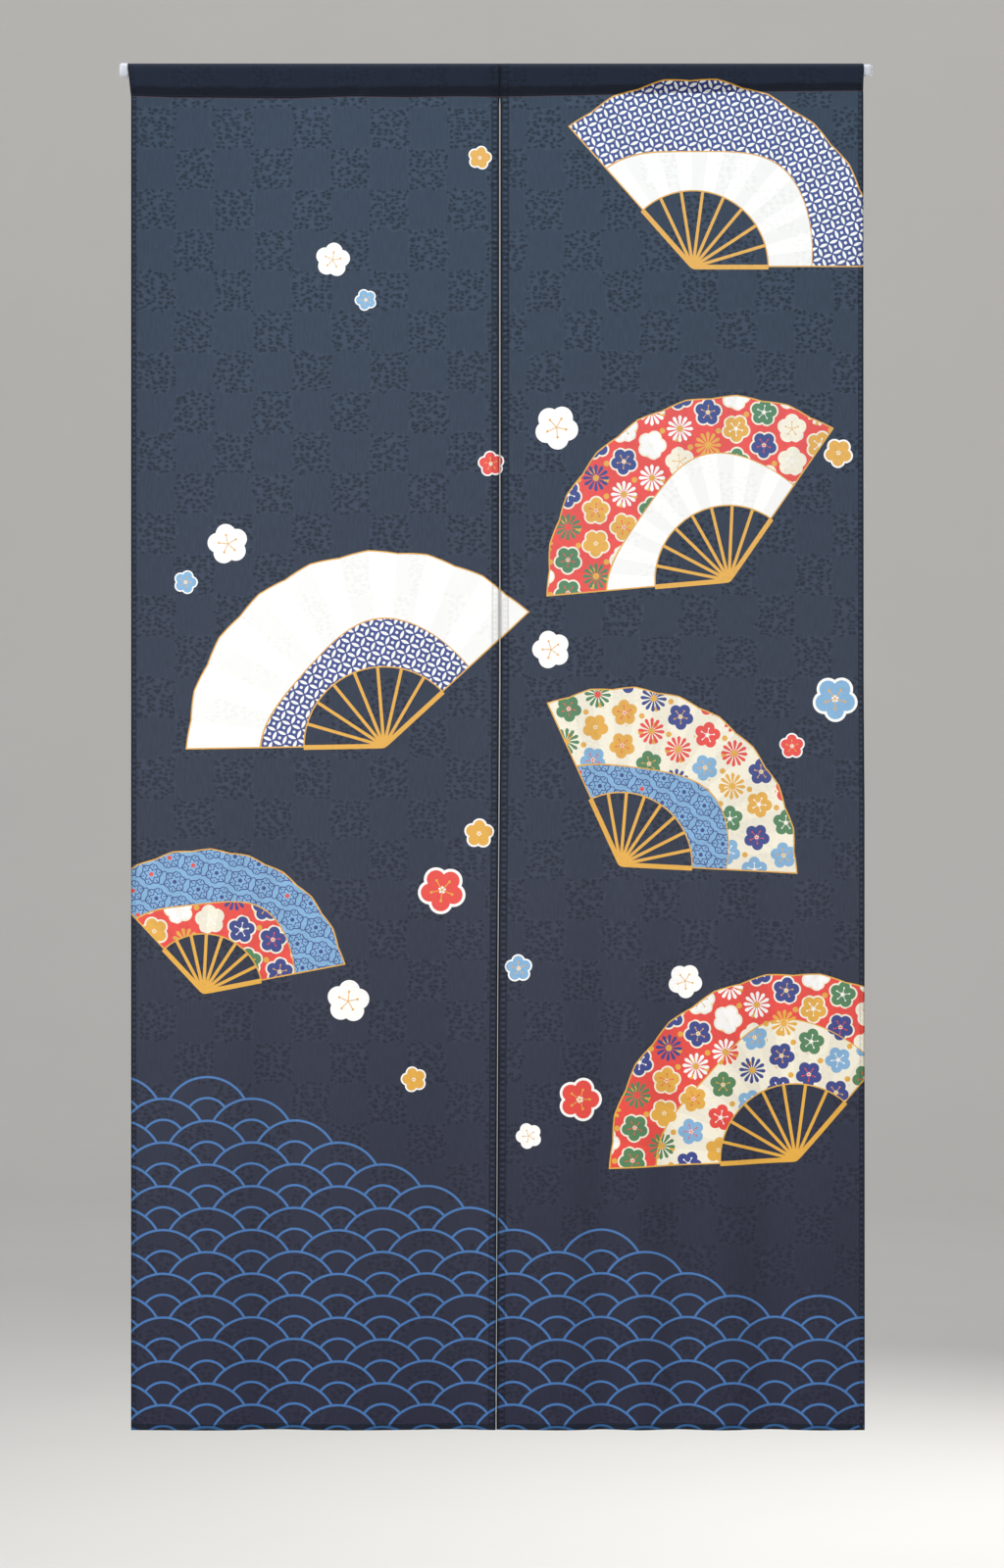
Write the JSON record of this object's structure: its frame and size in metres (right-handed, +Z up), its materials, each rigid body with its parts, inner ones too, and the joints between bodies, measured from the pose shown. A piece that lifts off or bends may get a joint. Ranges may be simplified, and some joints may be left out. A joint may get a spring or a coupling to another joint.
{
  "type": "noren curtain and spring rod",
  "caption": "Split doorway curtain: hemmed cloth panels that hang side by side from a slim spring rod through a pocket along their top edge, parted by a slit down to the hem.",
  "frame": {"origin": "centre of the flat end face of the rod's left cap, on the rod's axis", "axes": "+X along the rod to its right end as seen from the front, +Y away from the viewer, to the back of the cloth, +Z up"},
  "size_m": [0.8258, 0.016, 1.5008],
  "materials": {
    "cloth": "slate blue jacquard polyester cloth with a printed pattern",
    "rod_tube": "white enamelled steel tube",
    "rod_cap": "satin white moulded plastic"
  },
  "bodies": {
    "root": {"panel_left": "cloth", "panel_right": "cloth", "rod_outer_tube": "rod_tube", "rod_inner_tube": "rod_tube", "rod_cap_left": "rod_cap", "rod_cap_right": "rod_cap"}
  },
  "joints": []
}
